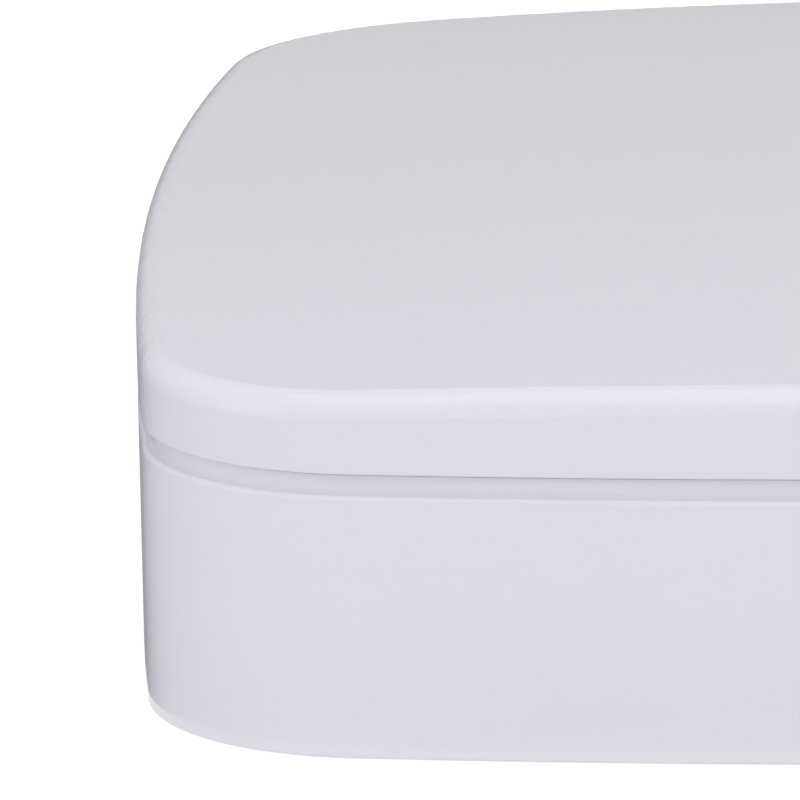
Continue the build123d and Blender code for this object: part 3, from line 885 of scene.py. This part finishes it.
for seed, node in enumerate(ROLL_NODES):
    made = make_ring_roll(node, seed + 11)
print("ring rolls:", len(ROLL_NODES), "points in the last:", len(made.data.vertices))

# %% [markdown]
# ## Border round the mirror
# The lid's recess is filled by a padded frame of velvet, with the bevelled mirror set in it. The
# cloth is pulled round the corners, so it gathers there in small folds, most of all at the inner
# corners, which are the tighter ones. The frame is one profile swept round the outline, with the
# folds added as a ripple that only the corners have.

# %% Profile of the lid border
BORDER_OVER_MIRROR = 0.05 * MM
BORDER_EDGE = 1.5 * MM
BORDER_SWELL = 0.45 * MM


def border_profile(outer, inner, face, back):
    """(inset, height) pairs: down the outside, across the swollen face and back up the inside."""
    edge = BORDER_EDGE
    profile = [(outer, back), (outer, face + edge)]
    for step in range(1, 7):
        angle = pi / 2 * step / 6
        profile.append((outer + edge * (1 - cos(angle)), face + edge * (1 - sin(angle))))
    for share in np.linspace(0.08, 0.92, 14):
        across = outer + edge + (inner - outer - 2 * edge) * share
        profile.append((across, face - BORDER_SWELL * sin(pi * share)))
    for step in range(6):
        angle = pi / 2 * (1 - step / 6)
        profile.append((inner - edge * (1 - cos(angle)), face + edge * (1 - sin(angle))))
    return profile + [(inner, face + edge), (inner, back)]


print("border's rounded edge, mm:", round(BORDER_EDGE / MM, 2))

# %% Lid border
BORDER_SIDE_STEPS, BORDER_CORNER_STEPS = 70, 60
FOLD_STEPS = 5.4
FOLD_OUTSIDE, FOLD_INSIDE = 0.05 * MM, 0.18 * MM
FOLDS_CLEAR_OF_BACK = 0.5 * MM
BORDER_RIPPLE = (10 * MM, 0.14 * MM)


def corner_share(step_count, side_steps, corner_steps):
    """How much each point of the outline belongs to a corner: 1 in its middle, 0 on the sides."""
    quarter_steps = 2 * side_steps + corner_steps
    shares = np.zeros(step_count)
    for step in range(step_count):
        from_corner = abs(step % quarter_steps - side_steps - corner_steps / 2)
        shares[step] = max(0.0, 1.0 - from_corner / corner_steps)
    return shares


def make_lid_border():
    """The profile swept round the recess, gathered into folds at the corners."""
    low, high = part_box("lid_border")
    outer = HALF - high.x
    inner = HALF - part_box("mirror")[1].x - BORDER_OVER_MIRROR
    profile = border_profile(outer, inner, low.z, high.z)
    rings = ring_stack(profile, BORDER_SIDE_STEPS, BORDER_CORNER_STEPS)
    size = rings.shape[1]
    folds = np.sin(np.arange(size) * 2 * pi / FOLD_STEPS)
    folds *= corner_share(size, BORDER_SIDE_STEPS, BORDER_CORNER_STEPS)
    for ring, (inset, height) in enumerate(profile):
        if height < high.z - FOLDS_CLEAR_OF_BACK:
            inwards = (inset - outer) / (inner - outer)
            rings[ring, :, 2] += folds * (FOLD_OUTSIDE + (FOLD_INSIDE - FOLD_OUTSIDE) * inwards)
    points = ripple(rings.reshape(-1, 3), *BORDER_RIPPLE, 21)
    piece = new_piece("velvet_lid_border", points, ring_faces(len(profile), size), VELVET)
    return cloth_on(piece, "lid", "lid_border")


LID_BORDER = make_lid_border()
print("lid border points:", len(LID_BORDER.data.vertices))

# %% [markdown]
# ## Felt under the box
# The box stands on a sheet of felt glued to the bottom board. Felt is cut, not wrapped, so its
# edge is square but never crisp: loose fibres soften it and the cut wanders by a hair. It lies
# flat, so it needs no cloth solver, and its cut size is printed.

# %% Underside felt
FELT_EDGE = 0.25 * MM
FELT_BULGE = 0.05 * MM
FELT_LIFT = 0.04 * MM
FELT_WANDER = 0.0004
FELT_STEPS = (120, 60)


def make_felt():
    """A sheet cut to the outline, soft along its lower edge."""
    low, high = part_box("underside_felt")
    inset = HALF - high.x
    cut = [(inset, high.z), (inset - FELT_BULGE, high.z / 2)]
    cut += [(inset, FELT_EDGE), (inset + FELT_EDGE, FELT_LIFT)]
    rings = list(ring_stack(cut, *FELT_STEPS))
    size = len(rings[0])
    rng = np.random.default_rng(5)
    for ring in rings[1:]:
        ring[:, :2] *= 1 + rng.normal(0.0, FELT_WANDER, (size, 1))
    shares = [1 - s for s in np.linspace(0.01, 0.97, 20)]
    rings += shrunk_rings(inset + FELT_EDGE, shares, lambda share: 0.0, *FELT_STEPS)
    faces = ring_faces(len(rings), size, joined=False)
    points, faces = capped(np.concatenate(rings), faces, (len(rings) - 1) * size, size, 0.0)
    faces.append(tuple(reversed(range(size))))
    piece = new_piece("felt_underside", points, faces, FELT)
    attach(piece, "base")
    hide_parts("underside_felt")
    wide = 2 * high.x
    return wide


print("felt, mm:", round(make_felt() / MM, 1), "square")

# %% [markdown]
# ## White floor
# The box stands on plain white that runs on into a white background. An ordinary white floor
# would show a grey shadow round the box, so to the camera this one mostly glows. It also lights
# the foot of the wall from very close by, as a white table does. In the lacquer's soft
# reflections it would be too bright and would wash the wall out, so those rays see it dim, while
# the sharp mirror still sees it white. From below it is open, so the felt can be looked at.

# %% Floor
FLOOR_WHITE = (0.9, 0.9, 0.9, 1.0)
FLOOR_IN_GLOSS = (0.2, 0.2, 0.21, 1.0)
PURE_WHITE = (1.0, 1.0, 1.0, 1.0)
FLOOR_GLOW = 1.08
FLOOR_GLOW_SHARE = 0.86
FLOOR_FILL = 0.87
FLOOR_FILL_REACH = 7.0 * MM
FLOOR_REACH = 6.0
FLOOR_HEIGHT = -0.02 * MM


def blurred_gloss(tree, ray):
    """1 for a ray that left a soft reflection, 0 for one off a mirror, off cloth or from the camera."""
    return calc(tree, "SUBTRACT", ray["Is Glossy Ray"], ray["Is Singular Ray"], clamp=True)


def either(tree, share, first, second):
    """One shader where share is 0 and the other where it is 1."""
    return add(tree, "ShaderNodeMixShader", {0: share, 1: first, 2: second}).outputs[0]


def make_floor_white():
    """White that glows to the camera, is dim in soft reflections and is open from below."""
    material = bpy.data.materials.new("white floor")
    material.use_nodes = True
    tree = material.node_tree
    tree.nodes.clear()
    ray = add(tree, "ShaderNodeLightPath").outputs
    plain = add(tree, "ShaderNodeBsdfDiffuse", {"Color": FLOOR_WHITE}).outputs[0]
    dim = add(tree, "ShaderNodeBsdfDiffuse", {"Color": FLOOR_IN_GLOSS}).outputs[0]
    glow = add(tree, "ShaderNodeEmission", {"Color": PURE_WHITE, "Strength": FLOOR_GLOW}).outputs[0]
    fill = add(tree, "ShaderNodeEmission", {"Color": PURE_WHITE, "Strength": FLOOR_FILL}).outputs[0]
    open_below = add(tree, "ShaderNodeBsdfTransparent").outputs[0]
    below = add(tree, "ShaderNodeNewGeometry").outputs["Backfacing"]
    close = calc(tree, "LESS_THAN", ray["Ray Length"], FLOOR_FILL_REACH)
    camera_share = calc(tree, "MULTIPLY", ray["Is Camera Ray"], FLOOR_GLOW_SHARE)
    bounced = either(tree, blurred_gloss(tree, ray), plain, dim)
    seen = either(tree, camera_share, either(tree, close, bounced, fill), glow)
    add(tree, "ShaderNodeOutputMaterial", {"Surface": either(tree, below, seen, open_below)})
    return material


def make_floor():
    """A large square just under the felt."""
    mesh = bpy.data.meshes.new("floor")
    signs = [(-1, -1), (1, -1), (1, 1), (-1, 1)]
    corners = [(x * FLOOR_REACH, y * FLOOR_REACH, FLOOR_HEIGHT) for x, y in signs]
    mesh.from_pydata(corners, [], [(0, 1, 2, 3)])
    mesh.materials.append(make_floor_white())
    floor = bpy.data.objects.new("floor", mesh)
    bpy.context.scene.collection.objects.link(floor)
    return floor


print("floor:", make_floor().name)

# %% [markdown]
# ## Light
# Three square softboxes light the box: a wide one overhead for the lid, one in front for the wall
# and a small fill from the left. Round them is an even white room. Seen in the lacquer it is
# darker near the horizon than overhead, which is what makes the lid's rounded edge read as an
# edge. Lamps alone would leave the shadow line black.

# %% Softboxes
OVERHEAD_POWER = 4.9
FRONT_POWER = 3.7
LEFT_POWER = 2.4
BOX_MIDDLE = Vector((0.0, 0.0, 0.0))


def softbox(name, place, size, power):
    """A square area light at place, facing the box."""
    data = bpy.data.lights.new(name, "AREA")
    data.shape = "SQUARE"
    data.size = size
    data.energy = power
    lamp = bpy.data.objects.new(name, data)
    lamp.location = place
    lamp.rotation_mode = "QUATERNION"
    lamp.rotation_quaternion = (BOX_MIDDLE - Vector(place)).to_track_quat("-Z", "Y")
    bpy.context.scene.collection.objects.link(lamp)
    print("softbox:", lamp.name, power, "W")


softbox("overhead", (0.0, -0.3, 1.5), 1.6, OVERHEAD_POWER)
softbox("front", (0.4, -1.6, 1.4), 1.2, FRONT_POWER)
softbox("left", (-2.1, -0.9, 0.7), 1.2, LEFT_POWER)

# %% White room
WORLD_STRENGTH = 0.79
GLOSS_LOW, GLOSS_HIGH = 0.39, 0.55
GLOSS_LOW_UPTO, GLOSS_HIGH_FROM = 0.3, 0.75


def make_world():
    """An even white room; soft reflections show it dim near the horizon and brighter overhead."""
    world = bpy.data.worlds.new("studio")
    world.use_nodes = True
    bpy.context.scene.world = world
    tree = world.node_tree
    ray = add(tree, "ShaderNodeLightPath").outputs
    direction = add(tree, "ShaderNodeTexCoord").outputs["Generated"]
    up = add(tree, "ShaderNodeSeparateXYZ", {"Vector": direction}).outputs["Z"]
    limits = {
        "Value": up,
        "From Min": GLOSS_LOW_UPTO,
        "From Max": GLOSS_HIGH_FROM,
        "To Min": GLOSS_LOW,
        "To Max": GLOSS_HIGH,
    }
    graded = add(tree, "ShaderNodeMapRange", limits, interpolation_type="SMOOTHSTEP").outputs[0]
    strengths = {0: blurred_gloss(tree, ray), 2: WORLD_STRENGTH, 3: graded}
    strength = add(tree, "ShaderNodeMix", strengths).outputs[0]
    background = tree.nodes["Background"].inputs
    tree.links.new(strength, background["Strength"])
    background["Color"].default_value = PURE_WHITE
    return world


print("world:", make_world().name)
bpy.context.scene.view_settings.view_transform = "Standard"

# %% [markdown]
# ## Camera
# The camera looks down a little from the front through a very long lens, aimed left of the box's
# middle, so the front left corner is large in the picture and the right side runs out of it. A
# long lens keeps the lid's edges nearly parallel. A slight roll levels the ledge.

# %% Camera
CAMERA_PLACE = Vector((0.0, -1.31453, 0.33648))
CAMERA_AIM = Vector((-0.067466, -0.090, 0.037811))
CAMERA_ROLL = radians(-1.152)
CAMERA_LENS = 541.35
CAMERA_SENSOR = 36.0
CAMERA_NEAR, CAMERA_FAR = 0.05, 50.0

lens = bpy.data.cameras.new("long lens")
lens.sensor_width = CAMERA_SENSOR
lens.lens = CAMERA_LENS
lens.clip_start = CAMERA_NEAR
lens.clip_end = CAMERA_FAR
camera = bpy.data.objects.new("camera", lens)
camera.rotation_mode = "QUATERNION"
camera.location = CAMERA_PLACE
level = (CAMERA_AIM - CAMERA_PLACE).to_track_quat("-Z", "Y")
camera.rotation_quaternion = level @ Quaternion((0.0, 0.0, 1.0), CAMERA_ROLL)
bpy.context.scene.collection.objects.link(camera)
bpy.context.scene.camera = camera
print("camera:", round((CAMERA_AIM - CAMERA_PLACE).length, 2), "m away")
